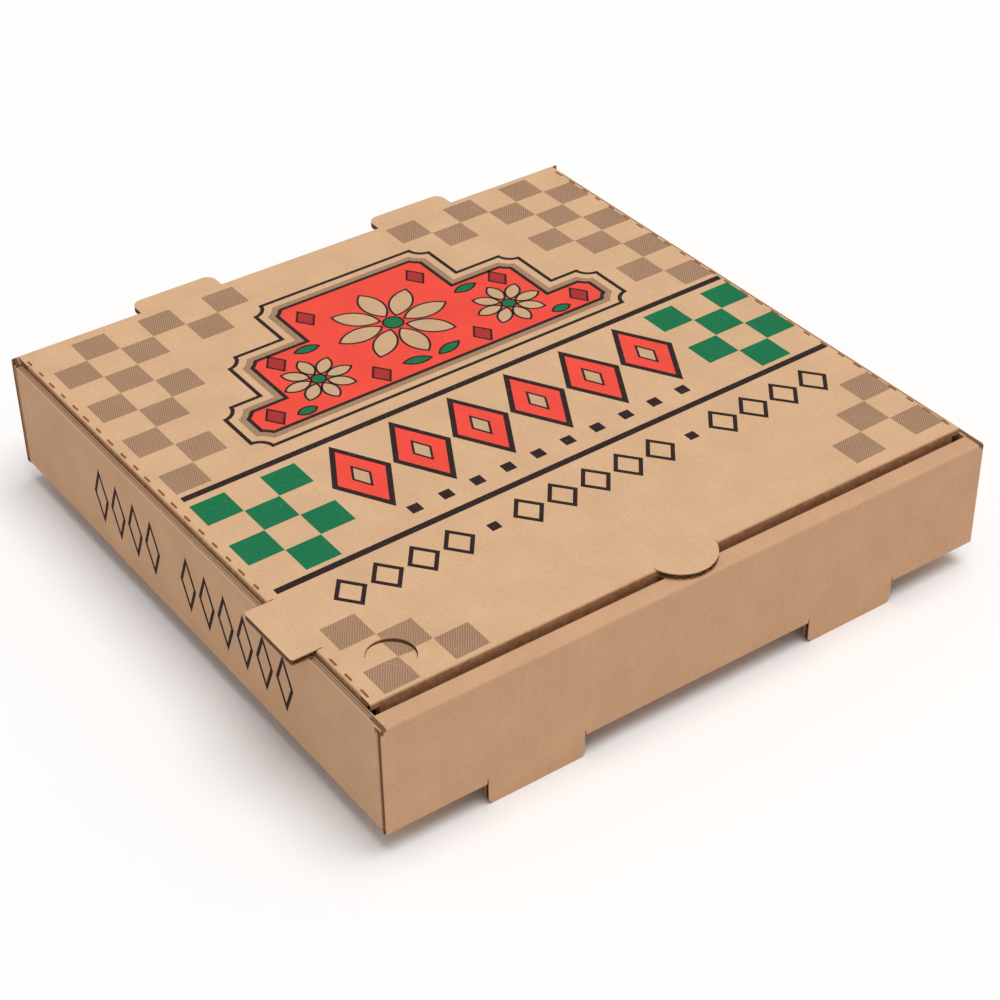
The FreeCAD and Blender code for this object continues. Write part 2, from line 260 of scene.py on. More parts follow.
def ring(outer, inner):
    """The flat faces between two loops of as many points."""
    count = len(outer)
    return outer + inner, [((i - 1) % count, i, count + i, count + (i - 1) % count) for i in range(count)]


def split(loop, window):
    """The flat faces of a loop that lie inside a window, and those outside it."""
    corners = [Vector(point) for point in loop + window]
    areas = [list(range(len(loop))), list(range(len(loop), len(corners)))]
    result = geometry.delaunay_2d_cdt(corners, [], areas, TRIANGLES_INSIDE, JOIN_DISTANCE, True)
    points, _, faces, _, _, owners = result
    points = [tuple(point) for point in points]
    inside = [face for face, owner in zip(faces, owners) if 0 in owner and 1 in owner]
    outside = [face for face, owner in zip(faces, owners) if 0 in owner and 1 not in owner]
    return (points, inside), (points, outside)


def ink_piece(name, surface, patches, material, layer=0, body="lid"):
    """One piece of ink from several patches, each a list of points and of faces."""
    def build(shape):
        for points, faces in patches:
            add_patch(shape, surface, points, faces, -INK_ROOT, INK_RISE + layer * INK_STEP)
    return new_piece(name, build, material, body)


def lid_print(name, patches, material, layer=0):
    """One piece of the lid's print, from patches of the layout."""
    ink_piece(name, LID, [printed(patch) for patch in patches], material, layer)


# Outlines, as loops of points that run anticlockwise

def rectangle(left, low, right, high):
    return [(left, low), (right, low), (right, high), (left, high)]


def lozenge(u, v, half_width, half_height):
    return [(u, v - half_height), (u + half_width, v), (u, v + half_height), (u - half_width, v)]


def circle(u, v, radius, steps):
    angles = [math.tau * i / steps for i in range(steps)]
    return [(u + radius * math.cos(angle), v + radius * math.sin(angle)) for angle in angles]


def leaf(u, v, reach, width, turn, steps=12):
    """A pointed leaf that starts at a point and reaches out from it."""
    rise = reach ** 2 / (4 * width) - width / 4
    radius = rise + width / 2
    half_angle = math.asin(reach / 2 / radius)
    loop = []
    for side in (-1, 1):
        for i in range(steps):
            angle = half_angle * (2 * i / steps - 1)
            along, aside = reach / 2 + radius * math.sin(angle), radius * math.cos(angle) - rise
            if side > 0:
                along = reach - along
            aside *= side
            loop.append((u + along * math.cos(turn) - aside * math.sin(turn),
                         v + along * math.sin(turn) + aside * math.cos(turn)))
    return loop


def grown(loop, distance):
    """A loop moved outwards by a distance, mitred at its corners."""
    result = []
    for i, point in enumerate(loop):
        last, after = Vector(loop[i - 1]), Vector(loop[(i + 1) % len(loop)])
        point = Vector(point)
        into, away = (point - last).normalized(), (after - point).normalized()
        first, second = Vector((into.y, -into.x)), Vector((away.y, -away.x))
        scale = distance / max(1 + first.dot(second), MITRE_LIMIT)
        result.append(tuple(point + (first + second) * scale))
    return result


def flipped(loop):
    """A loop's mirror image, run the same way round."""
    return [(-u, v) for u, v in reversed(loop)]


def drawn_line(loop, line):
    """The flat faces of a line drawn round a loop."""
    return ring(grown(loop, line), loop)


def stepped(steps, low, bite, inset, parts=8):
    """A stepped plaque, wide at its foot, with a round bite out of each outer corner.

    Steps holds the half width and the upper edge of each step. The inset moves the whole outline in.
    """
    radius = bite + inset
    first = math.asin(inset / radius)

    def bitten(u, v, start):
        for i in range(parts + 1):
            angle = start - first - (math.pi / 2 - 2 * first) * i / parts
            yield u + radius * math.cos(angle), v + radius * math.sin(angle)

    side = list(bitten(steps[0][0], low, math.pi))
    for k, (half, high) in enumerate(steps):
        side += bitten(half, high, math.pi * 1.5)
        if k + 1 < len(steps):
            side.append((steps[k + 1][0] - inset, high - inset))
    return side + [(-u, v) for u, v in reversed(side)]


# Shader groups

# Masks fade over steps of this many millimetres, and the edges of the core over twice the finer one
SOFT = 0.05
CORE_SOFT = 0.03

# Values of the noise between which a dark and a light fibre set in, and the colour of the light ones
DARK_FIBRES, LIGHT_FIBRES = (0.60, 0.74), (0.62, 0.76)
LIGHT_FIBRE = (1.0, 0.86, 0.68)

# The hatching's lines run this far across for each step up the lid, waver by this many millimetres at
# most, and have edges this soft
HATCH_SLANT = 0.69
HATCH_WAVER = 0.5
HATCH_SOFT = 0.35

# Cracked paper and painted shade along the lid's folds, in millimetres: how far inside the side folds and
# the front fold it sets in, from where to where below the lid's top it sets in, and where it fades out
# down the flap
CREASE_SIDE, CREASE_FRONT = (1.2, 0.7), (1.2, 0.6)
CREASE_TOP, CREASE_FOOT = (0.02, 0.9), (12.0, 5.0)


class Tree:
    """Adds nodes to a node tree and links them."""

    def __init__(self, tree):
        self.tree = tree

    def add(self, kind, inputs=(), **settings):
        node = self.tree.nodes.new(kind)
        node.location = (220 * (len(self.tree.nodes) % 8), -260 * (len(self.tree.nodes) // 8))
        for name, value in settings.items():
            setattr(node, name, value)
        for name, value in dict(inputs).items():
            if isinstance(value, bpy.types.NodeSocket):
                self.link(value, node.inputs[name])
            else:
                node.inputs[name].default_value = value
        return node

    def link(self, output, socket):
        self.tree.links.new(output, socket)

    def math(self, operation, first, second=0.0, third=0.0):
        return self.add("ShaderNodeMath", {0: first, 1: second, 2: third}, operation=operation).outputs[0]

    def product(self, first, *others):
        for other in others:
            first = self.math("MULTIPLY", first, other)
        return first

    def largest(self, first, *others):
        for other in others:
            first = self.math("MAXIMUM", first, other)
        return first

    def grey(self, value):
        return self.add("ShaderNodeCombineColor", {0: value, 1: value, 2: value}).outputs[0]

    def scaled(self, vector, factors):
        return self.add("ShaderNodeVectorMath", {0: vector, 1: factors}, operation="MULTIPLY").outputs[0]

    def noise(self, vector, scale, detail=2.0, roughness=0.5, distortion=0.0):
        inputs = {"Vector": vector, "Scale": scale, "Detail": detail, "Roughness": roughness,
                  "Distortion": distortion}
        return self.add("ShaderNodeTexNoise", inputs).outputs["Fac"]

    def range(self, value, low, high, to_low=0.0, to_high=1.0):
        inputs = {"Value": value, "From Min": low, "From Max": high, "To Min": to_low, "To Max": to_high}
        return self.add("ShaderNodeMapRange", inputs).outputs["Result"]

    def mix(self, share, first, second, blend="MIX"):
        """Mixes two colours, each a socket or three values."""
        node = self.add("ShaderNodeMix", {0: share}, data_type="RGBA", blend_type=blend)
        for index, value in ((6, first), (7, second)):
            if isinstance(value, bpy.types.NodeSocket):
                self.link(value, node.inputs[index])
            else:
                node.inputs[index].default_value = (*value, 1.0)
        return node.outputs[2]

    def group(self, name, inputs):
        return self.add("ShaderNodeGroup", inputs, node_tree=bpy.data.node_groups[name]).outputs


def new_group(name, inputs, outputs):
    """An empty shader group with named sockets, and the sockets of its inner ends."""
    group = bpy.data.node_groups.new(name, "ShaderNodeTree")
    for label, kind in inputs.items():
        group.interface.new_socket(label, in_out="INPUT", socket_type=kind)
    for label, kind in outputs.items():
        group.interface.new_socket(label, in_out="OUTPUT", socket_type=kind)
    tree = Tree(group)
    return tree, tree.add("NodeGroupInput").outputs, tree.add("NodeGroupOutput").inputs


def make_paper_group():
    """Kraft paper: clouds, grain, and dark and light fibres. The position is in millimetres."""
    tree, given, result = new_group(
        "Kraft Paper",
        {"Position": "NodeSocketVector", "Color": "NodeSocketColor", "Fibre Color": "NodeSocketColor",
         "Fibres": "NodeSocketFloat"},
        {"Color": "NodeSocketColor", "Height": "NodeSocketFloat"})
    clouds = tree.noise(given["Position"], 0.05, 3.0)
    grain = tree.noise(given["Position"], 1.1, 4.0, 0.7)
    long_fibres = tree.noise(tree.scaled(given["Position"], (0.55, 1.6, 1.2)), 1.5, 3.0, 0.6, 1.2)
    cross_fibres = tree.noise(tree.scaled(given["Position"], (1.5, 0.6, 1.1)), 1.2, 2.0, 0.6, 0.8)
    dark = tree.math("MULTIPLY", tree.range(long_fibres, *DARK_FIBRES), given["Fibres"])
    light = tree.math("MULTIPLY", tree.range(cross_fibres, *LIGHT_FIBRES), given["Fibres"])
    shade = tree.math("ADD", tree.range(clouds, 0.3, 0.7, 0.95, 1.04),
                      tree.range(grain, 0.25, 0.75, -0.08, 0.08))
    toned = tree.mix(1.0, given["Color"], tree.grey(shade), "MULTIPLY")
    toned = tree.mix(tree.math("MULTIPLY", dark, 0.55), toned, given["Fibre Color"])
    toned = tree.mix(tree.math("MULTIPLY", light, 0.22), toned, LIGHT_FIBRE)
    tree.link(toned, result["Color"])
    tree.link(tree.math("ADD", grain, tree.math("MULTIPLY", dark, 0.5)), result["Height"])


def make_flute_group():
    """Faint ribs of the flutes under a facing, as a mask.

    They run up the front and rear walls, and from front to rear elsewhere.
    """
    tree, given, result = new_group(
        "Flute Ribs",
        {"Position": "NodeSocketVector", "Normal": "NodeSocketVector", "Pitch": "NodeSocketFloat"},
        {"Ribs": "NodeSocketFloat"})
    place = tree.add("ShaderNodeSeparateXYZ", {0: given["Position"]}).outputs
    normal = tree.add("ShaderNodeSeparateXYZ", {0: given["Normal"]}).outputs
    sideways = tree.math("GREATER_THAN", tree.math("ABSOLUTE", normal["X"]), 0.7)
    across = tree.add("ShaderNodeMix", {0: sideways, 2: place["X"], 3: place["Z"]}).outputs[0]
    phase = tree.math("MULTIPLY", tree.math("DIVIDE", across, given["Pitch"]), math.tau)
    tree.link(tree.math("MULTIPLY_ADD", tree.math("SINE", phase), 0.5, 0.5), result["Ribs"])


def make_hatch_group():
    """Fine slanting lines of ink, as a mask. The position and pitch are in millimetres."""
    tree, given, result = new_group(
        "Ink Hatching",
        {"Position": "NodeSocketVector", "Pitch": "NodeSocketFloat", "Cover": "NodeSocketFloat"},
        {"Mask": "NodeSocketFloat"})
    place = tree.add("ShaderNodeSeparateXYZ", {0: given["Position"]}).outputs
    slant = tree.math("SUBTRACT", place["X"], tree.math("MULTIPLY", place["Y"], HATCH_SLANT))
    waver = tree.math("MULTIPLY", tree.noise(given["Position"], 0.5), HATCH_WAVER)
    apart = tree.math("MULTIPLY", given["Pitch"], math.hypot(1, HATCH_SLANT))
    phase = tree.math("MULTIPLY", tree.math("DIVIDE", tree.math("ADD", slant, waver), apart), math.tau)
    edge = tree.math("SUBTRACT", 1.0, tree.math("MULTIPLY", given["Cover"], 2.0))
    low, high = tree.math("SUBTRACT", edge, HATCH_SOFT), tree.math("ADD", edge, HATCH_SOFT)
    tree.link(tree.range(tree.math("SINE", phase), low, high), result["Mask"])


def make_speckle_group():
    """Small spots where the ink has not reached the paper, as a mask."""
    tree, given, result = new_group(
        "Ink Speckle", {"Position": "NodeSocketVector", "Amount": "NodeSocketFloat"},
        {"Bare": "NodeSocketFloat"})
    spots = tree.noise(given["Position"], 1.7, 3.0, 0.65)
    level = tree.math("SUBTRACT", 0.82, tree.math("MULTIPLY", given["Amount"], 0.3))
    tree.link(tree.range(spots, level, tree.math("ADD", level, 0.12)), result["Bare"])


def core_band(tree, depth):
    """1 where a depth below a facing's outer face lies in the fluted core, 0 in either facing."""
    half = (BOARD / 2 - LINER) / MM
    away = tree.math("ABSOLUTE", tree.math("SUBTRACT", depth, BOARD / 2 / MM))
    return tree.range(away, half + CORE_SOFT, half - CORE_SOFT)


def make_tray_core_shade_group():
    """The fluted core where the tray's cut edges show it, as a mask for painted shade."""
    tree, given, result = new_group("Tray Core Shade", {"Position": "NodeSocketVector"},
                                    {"Core": "NodeSocketFloat"})
    place = tree.add("ShaderNodeSeparateXYZ", {0: given["Position"]}).outputs
    aside = tree.math("ABSOLUTE", place["X"])
    from_side = tree.math("SUBTRACT", RIGHT / MM, aside)
    from_front = tree.math("SUBTRACT", place["Y"], FRONT / MM)
    from_rear = tree.math("SUBTRACT", REAR / MM, place["Y"])
    from_top = tree.math("SUBTRACT", WALL_HEIGHT / MM, place["Z"])
    open_depth = EDGE_GROOVE / MM + SOFT
    strip_end = tree.range(from_side, open_depth + SOFT, open_depth)
    outer_wall = (BOARD + LAYER_GAP) / MM
    ahead = tree.range(from_front, outer_wall, outer_wall - SOFT)
    roll_end = tree.product(strip_end, core_band(tree, from_top), ahead)
    upright_end = tree.product(strip_end, tree.range(from_top, LINER / MM - SOFT, LINER / MM + SOFT),
                               tree.largest(core_band(tree, from_front), core_band(tree, from_rear)))
    side_top = tree.product(core_band(tree, from_side),
                            tree.range(from_top, open_depth + SOFT, open_depth))
    foot = tree.product(core_band(tree, from_front), tree.range(place["Z"], 0.0, -2 * SOFT))
    from_notch = tree.math("ABSOLUTE", tree.math("SUBTRACT", aside, REAR_TAB_MIDDLE / MM))
    notch_low, notch_half = REAR_NOTCH_CORE / MM, (REAR_NOTCH_HALF + EDGE_GROOVE) / MM
    notch = tree.product(core_band(tree, from_rear),
                         tree.range(place["Z"], notch_low - 2 * SOFT, notch_low + 2 * SOFT),
                         tree.range(from_notch, notch_half + SOFT, notch_half - SOFT))
    tree.link(tree.largest(roll_end, upright_end, side_top, foot, notch), result["Core"])


def make_lid_core_shade_group():
    """The fluted core where the edges of the lid's tabs and the vent's cut show it, as a mask for painted
    shade.
    """
    tree, given, result = new_group("Lid Core Shade", {"Position": "NodeSocketVector"},
                                    {"Core": "NodeSocketFloat"})
    place = tree.add("ShaderNodeSeparateXYZ", {0: given["Position"]}).outputs
    from_top = tree.math("SUBTRACT", LID_TOP / MM, place["Z"])
    side, rear, front = LID_HALF / MM, (REAR - FOLD_RADIUS) / MM, LID_FRONT / MM
    beside = tree.range(tree.math("ABSOLUTE", place["X"]), side + 2 * SOFT, side + 4 * SOFT)
    behind = tree.range(place["Y"], rear, rear + 2 * SOFT)
    before = tree.range(place["Y"], front - 2 * SOFT, front - 4 * SOFT)
    centre = (*(VENT_CENTRE / MM), 0.0)
    across = tree.scaled(tree.add("ShaderNodeVectorMath", {0: given["Position"], 1: centre},
                                  operation="SUBTRACT").outputs[0], (1, 1, 0))
    away = tree.add("ShaderNodeVectorMath", {0: across}, operation="LENGTH").outputs["Value"]
    kerf_middle, kerf_edge = (VENT_RADIUS + VENT_KERF / 2) / MM, (VENT_RADIUS + VENT_KERF) / MM
    hole = tree.product(tree.range(away, kerf_middle, kerf_middle + SOFT),
                        tree.range(away, kerf_edge + 3 * SOFT, kerf_edge + 2 * SOFT))
    tree.link(tree.product(core_band(tree, from_top), tree.largest(beside, behind, before, hole)),
              result["Core"])


def make_crease_shade_group():
    """How far the paper is cracked and rubbed where the lid folds down to its flaps, with painted shade
    in the gaps there, as a mask.
    """
    tree, given, result = new_group("Lid Crease Shade", {"Position": "NodeSocketVector"},
                                    {"Crease": "NodeSocketFloat"})
    place = tree.add("ShaderNodeSeparateXYZ", {0: given["Position"]}).outputs
    from_top = tree.math("SUBTRACT", LID_TOP / MM, place["Z"])
    side, front = LID_HALF / MM, LID_FRONT / MM
    at_side = tree.range(tree.math("ABSOLUTE", place["X"]), *(side - inset for inset in CREASE_SIDE))
    at_front = tree.range(place["Y"], *(front + inset for inset in CREASE_FRONT))
    depth = tree.product(tree.range(from_top, *CREASE_TOP), tree.range(from_top, *CREASE_FOOT))
    uneven = tree.range(tree.noise(given["Position"], 0.35, 3.0, 0.6), 0.3, 0.6, 0.6, 1.0)
    tree.link(tree.product(tree.largest(at_side, at_front), depth, uneven), result["Crease"])


# Materials

# Roughness of the paper, and how strongly it and the ink on it shine
ROUGHNESS = 0.85
PAPER_SHINE, INK_SHINE = 0.25, 0.1

# Height of the paper's grain, and how many times that the dents and the ribs stand out
GRAIN_HEIGHT = 0.015 * MM
DENTS, RIB_HEIGHT = 6.0, 0.4

# How far the cracked paper's colour, which is partly painted shade, covers the other
CREASE_SHADE_COVER = 0.8

# Ink: its small bare spots, how much paper shows through, its fibres, how much darker they are, and how
# much of the hatching is lines
BARE_SPOTS = 0.15
SHOW_THROUGH = 0.012
INK_FIBRES, INK_FIBRE_SHADE = 0.5, 0.7
HATCH_COVER = 0.58


def start_material(name):
    """A material with only its shader and output, the coordinates in millimetres, and the tree."""
    material = bpy.data.materials.new(name)
    material.use_nodes = True
    tree = Tree(material.node_tree)
    tree.tree.nodes.clear()
    shader = tree.add("ShaderNodeBsdfPrincipled")
    output = tree.add("ShaderNodeOutputMaterial")
    tree.link(shader.outputs[0], output.inputs[0])
    coordinates = tree.add("ShaderNodeTexCoord").outputs
    position = tree.scaled(coordinates["Object"], (1 / MM, 1 / MM, 1 / MM))
    shader.inputs["Roughness"].default_value = ROUGHNESS
    shader.inputs["Specular IOR Level"].default_value = PAPER_SHINE
    return material, tree, shader, position, coordinates["Normal"]


def finish_material(tree, shader, tone, height):
    """Feeds a shader's colour, and its normal from a height in parts of the grain's."""
    tree.link(tone, shader.inputs["Base Color"])
    bump = tree.add("ShaderNodeBump", {"Height": height, "Distance": GRAIN_HEIGHT, "Strength": 1.0})
    tree.link(bump.outputs["Normal"], shader.inputs["Normal"])


def paper_group(tree, position, tone, fibres=1.0, fibre_tone=None):
    """Kraft paper of a given tone, as the outputs of its group."""
    fibre_tone = fibre_tone or bpy.context.scene.pizza_box_board.fibre
    return tree.group("Kraft Paper", {"Position": position, "Color": (*tone, 1.0),
                                      "Fibre Color": (*fibre_tone, 1.0), "Fibres": fibres})


def board_material(name, tone, core_shade_group=None, crease_shade_group=None):
    """Brown kraft paper with the flutes' ribs just showing as bumps and faint painted shade, and perhaps
    the open core and creases with painted shade.
    """
    look = bpy.context.scene.pizza_box_board
    material, tree, shader, position, normal = start_material(name)
    paper = paper_group(tree, position, tone)
    rib = tree.group("Flute Ribs", {"Position": position, "Normal": normal,
                                    "Pitch": look.flute_pitch / MM})["Ribs"]
    # Painted shade and highlight in faint stripes along the flutes' ribs
    shade = tree.range(rib, 0.0, 1.0, 1.0 - look.ribs, 1.0 + look.ribs)
    colour_now = tree.mix(1.0, paper["Color"], tree.grey(shade), "MULTIPLY")
    # Painted shade, with cracked paper, along the lid's folds and down their flaps beside the walls
    if crease_shade_group:
        crease = tree.group(crease_shade_group, {"Position": position})["Crease"]
        colour_now = tree.mix(tree.math("MULTIPLY", crease, CREASE_SHADE_COVER), colour_now, look.crease)
    # Painted shade over the open core of cut edges, and painted shadow in the vent's cut
    if core_shade_group:
        core = tree.group(core_shade_group, {"Position": position})["Core"]
        colour_now = tree.mix(core, colour_now, paper_group(tree, position, look.core)["Color"])
    dents = tree.noise(position, 0.03, 2.0)
    height = tree.math("ADD", tree.math("MULTIPLY_ADD", dents, DENTS, paper["Height"]),
                       tree.math("MULTIPLY", rib, RIB_HEIGHT))
    finish_material(tree, shader, colour_now, height)
    return material


def ink_material(name, ink, hatched=None):
    """Ink on kraft paper, with fibres showing through, small bare spots and perhaps hatching.

    Hatched is the distance from one line to the next.
    """
    look = bpy.context.scene.pizza_box_print
    material, tree, shader, position, _ = start_material(name)
    paper = paper_group(tree, position, bpy.context.scene.pizza_box_board.lid_kraft)
    inked = paper_group(tree, position, ink, INK_FIBRES, [INK_FIBRE_SHADE * value for value in ink])
    spots = tree.group("Ink Speckle", {"Position": position, "Amount": BARE_SPOTS})["Bare"]
    open_share = tree.math("MAXIMUM", spots, SHOW_THROUGH)
    if hatched:
        mask = tree.group("Ink Hatching", {"Position": position, "Pitch": hatched / MM,
                                           "Cover": HATCH_COVER})["Mask"]
        open_share = tree.math("MAXIMUM", open_share, tree.range(mask, 0.0, 1.0, 1.0 - look.tint, 0.0))
    finish_material(tree, shader, tree.mix(open_share, inked["Color"], paper["Color"]), paper["Height"])
    shader.inputs["Specular IOR Level"].default_value = INK_SHINE
    return material


def named(name):
    """The material of that name."""
    return bpy.data.materials[name]


# Pieces

class BoardOperator(bpy.types.Operator):
    """Make the paper and ink, and give the folded sheet its kraft paper"""
    bl_idname = "pizza_box.board"
    bl_label = "Board"

    def execute(self, context):
        look, ink = context.scene.pizza_box_board, context.scene.pizza_box_print
        for make in (make_paper_group, make_flute_group, make_hatch_group, make_speckle_group,
                     make_tray_core_shade_group, make_lid_core_shade_group, make_crease_shade_group):
            make()
        lid_board = board_material("lid_board", look.lid_kraft, "Lid Core Shade", "Lid Crease Shade")
        # The tray's darker board tone is painted shade
        tray_board_shaded = board_material("tray_board_shaded", look.tray_kraft_shaded, "Tray Core Shade")
        for name, material in (("tray", tray_board_shaded), ("lid", lid_board), ("vent_flap", lid_board)):
            node = frame["nodes"][name]
            node.data.materials.clear()
            node.data.materials.append(material)
        board_material("fluted_paper", look.flute)
        board_material("cracked_crease", look.crease)
        ink_material("red_ink", ink.red)
        ink_material("deep_red_ink", ink.deep_red)
        ink_material("tan_ink", ink.tan)
        ink_material("green_ink", ink.green)
        ink_material("black_ink", ink.black)
        ink_material("grey_hatching", ink.grey, hatched=ink.hatch)
        return {"FINISHED"}


# Nicks along the lid's side folds: their size, pitch and distance from the fold's outer face, where the
# first one is in parts of the pitch, how far they stray along and across the fold, and their least and
# greatest length in parts of the usual one
NICK_LENGTH = 5.4 * MM
NICK_WIDTH = 1.1 * MM
NICK_PITCH = 11.3 * MM
NICK_INSET = 1.7 * MM
NICK_START = 0.6
NICK_STRAY, NICK_SWAY = 0.6 * MM, 0.15 * MM
NICK_SPREAD = (0.8, 1.15)

# Where a nick's ragged corners lie, in parts of its half length
NICK_NEAR, NICK_FAR = 0.7, 0.8

# Lengths of the hinge fold beside and between the notches, and the skin over them
NOTCH_INNER, NOTCH_OUTER = REAR_TAB_MIDDLE - REAR_NOTCH_HALF, REAR_TAB_MIDDLE + REAR_NOTCH_HALF
HINGE_STRIPS = (("hinge_skin_left", -LID_HALF, -NOTCH_OUTER),
                ("hinge_skin_middle", -NOTCH_INNER, NOTCH_INNER),
                ("hinge_skin_right", NOTCH_OUTER, LID_HALF))
SKIN_OVERLAP = 0.9 * MM
SKIN_RISE = 0.03 * MM
SKIN_STEPS = 10


def nick(u, v, half):
    """A short ragged cut along the lid, from its middle and half its length."""
    aside, near, far = NICK_WIDTH / 2, NICK_NEAR * half, NICK_FAR * half
    return [(u, v - half), (u + aside, v - near), (u + aside, v + far), (u, v + half),
            (u - aside, v + near), (u - aside, v - far)]


class CreaseOperator(bpy.types.Operator):
    """Cut the row of short nicks along the lid's side folds, and skin the hinge fold"""
    bl_idname = "pizza_box.creases"
    bl_label = "Creases"

    def execute(self, context):
        chance = random.Random(11)
        nicks = []
        count = int((REAR - LID_FRONT) / NICK_PITCH)
        for side in (-1, 1):
            for k in range(count):
                v = LID_FRONT + (k + NICK_START) * NICK_PITCH + chance.uniform(-NICK_STRAY, NICK_STRAY)
                if side < 0 and SIDE_TAB_REACH[0] < v < SIDE_TAB_REACH[1]:
                    continue
                u = side * (LID_HALF - NICK_INSET + chance.uniform(-NICK_SWAY, NICK_SWAY))
                nicks.append(filled(nick(u, v, NICK_LENGTH / 2 * chance.uniform(*NICK_SPREAD))))
        ink_piece("fold_nicks", LID, nicks, named("cracked_crease"), 1)
        for name, low, high in HINGE_STRIPS:
            self.skin(name, low, high)
        return {"FINISHED"}

    @staticmethod
    def skin(name, low, high):
        """Paper over one length of the hinge fold."""
        turn_y, turn_z = REAR - FOLD_RADIUS, LID_TOP - FOLD_RADIUS
        path = [(REAR, turn_z - overlap, 0.0) for overlap in (SKIN_OVERLAP, SKIN_OVERLAP / 2)]
        for k in range(SKIN_STEPS + 1):
            turn = math.pi / 2 * k / SKIN_STEPS
            y, z = turn_y + FOLD_RADIUS * math.cos(turn), turn_z + FOLD_RADIUS * math.sin(turn)
            path.append((y, z, turn))
        path += [(turn_y - overlap, LID_TOP, math.pi / 2) for overlap in (SKIN_OVERLAP / 2, SKIN_OVERLAP)]

        def build(shape):
            rows = []
            for x in (low, high):
                for height in (SKIN_RISE, -SKIN_RISE):
                    row = [(x, y + height * math.cos(turn), z + height * math.sin(turn))
                           for y, z, turn in path]
                    rows.append([shape.verts.new(point) for point in row])
            left_out, left_in, right_out, right_in = rows
            for first, second in ((left_out, right_out), (right_in, left_in), (left_in, left_out),
                                  (right_out, right_in)):
                for k in range(1, len(path)):
                    shape.faces.new((first[k - 1], first[k], second[k], second[k - 1]))
            for k in (0, -1):
                shape.faces.new([row[k] for row in (left_out, right_out, right_in, left_in)])

        piece = new_piece(name, build, named("lid_board"), None)
        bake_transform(piece)


# Fluted paper in the open edges: the length of a step along it, how far it reaches into the groove's
# floor and into the facings, and how uneven it is
FLUTE_STEP = 5.0 * MM
FLUTE_ROOT = 0.1 * MM
FLUTE_BITE = 0.03 * MM
FLUTE_WAVER = 0.12 * MM

# Places across the wall from its outer face, and the paper's height above the groove's floor there
FLUTE_ACROSS = (LINER - FLUTE_BITE, 1.1 * MM, 1.9 * MM, BOARD - LINER + FLUTE_BITE)
FLUTE_HEIGHTS = (0.3 * MM, 0.45 * MM, 0.6 * MM, 0.75 * MM)


class EdgeOperator(bpy.types.Operator):
    """Lay the fluted paper in the open upper edges of the side walls"""
    bl_idname = "pizza_box.edges"
    bl_label = "Cut edges"

    def execute(self, context):
        chance = random.Random(5)
        for side, name in ((-1, "edge_flutes_left"), (1, "edge_flutes_right")):
            self.lay(name, side, chance)
        return {"FINISHED"}

    @staticmethod
    def lay(name, side, chance):
        """Fluted paper along one side wall, a little uneven."""
        begin, end = FRONT + BOARD + LAYER_GAP, REAR - BOARD - LAYER_GAP
        count = round((end - begin) / FLUTE_STEP)
        floor = WALL_HEIGHT - EDGE_GROOVE
        places = [side * (RIGHT - across) for across in FLUTE_ACROSS]

        def build(shape):
            rows = []
            for k in range(count + 1):
                y = begin + (end - begin) * k / count
                top = [(x, y, floor + height + chance.uniform(-FLUTE_WAVER, FLUTE_WAVER))
                       for x, height in zip(places, FLUTE_HEIGHTS)]
                base = [(x, y, floor - FLUTE_ROOT) for x in reversed(places)]
                rows.append([shape.verts.new(point) for point in top + base])
            for near, far in zip(rows, rows[1:]):
                for i in range(len(near)):
                    shape.faces.new((near[i - 1], near[i], far[i], far[i - 1]))
            shape.faces.new(rows[0])
            shape.faces.new(rows[-1])

        new_piece(name, build, named("fluted_paper"), "tray")


# Checks: the columns that are filled in each row, from the rear row to the front one
GREY_CORNER = ((1, 3, 5), (0, 2, 4), (1,), (0, 2), (1,), (0,), (1,), (0,))
GREEN_BLOCK = ((0, 2), (1,), (0, 2), (1,))
GREY_FRONT_LEFT = ((0,), (1,), (0, 2))
GREY_FRONT_RIGHT = ((2,), (1,), (0, 2))
BLOCK_COLUMNS = 3

# Rear edges of the checks, and the middles of the two rules
GREEN_TOP = 8.5 * MM
GREY_FRONT_TOP = -89.4 * MM
UPPER_RULE = 14.2 * MM
LOWER_RULE = -61.4 * MM

# The check at the front left is printed a little smaller and further in than the others
SMALL_CHECK = 0.95
SMALL_CHECK_INSET = 1.7 * MM
SMALL_CHECK_TOP = -91.5 * MM

# Each square keeps this far from its outline, and the print this far from the vent's cut and crease
CHECK_GAP = 0.1 * MM
TONGUE_GAP = 0.1 * MM
TONGUE_STEPS = 40


def check_squares(rows, left, top, size=1.0):
    """The squares of a check whose rows run down from its top left corner."""
    look = bpy.context.scene.pizza_box_print
    width, height = size * look.square_width, size * look.square_height
    squares = []
    for r, columns in enumerate(rows):
        for c in columns:
            u, v = left + c * width, top - (r + 1) * height
            squares.append(rectangle(u + CHECK_GAP, v + CHECK_GAP, u + width - CHECK_GAP,
                                     v + height - CHECK_GAP))
    return squares


def tongue_outline(radius, past_crease):
    """The vent's tongue on the lid: the cut arc, closed along a line so far past the crease."""
    crease = VENT_CREASE.xy - VENT_CENTRE
    half_arc = math.acos((crease.length + past_crease) / radius)
    first = math.atan2(crease.y, crease.x) + half_arc
    loop = []
    for i in range(TONGUE_STEPS + 1):
        angle = first + (math.tau - 2 * half_arc) * i / TONGUE_STEPS
        loop.append(tuple(VENT_CENTRE + Vector((math.cos(angle), math.sin(angle))) * radius))
    return loop


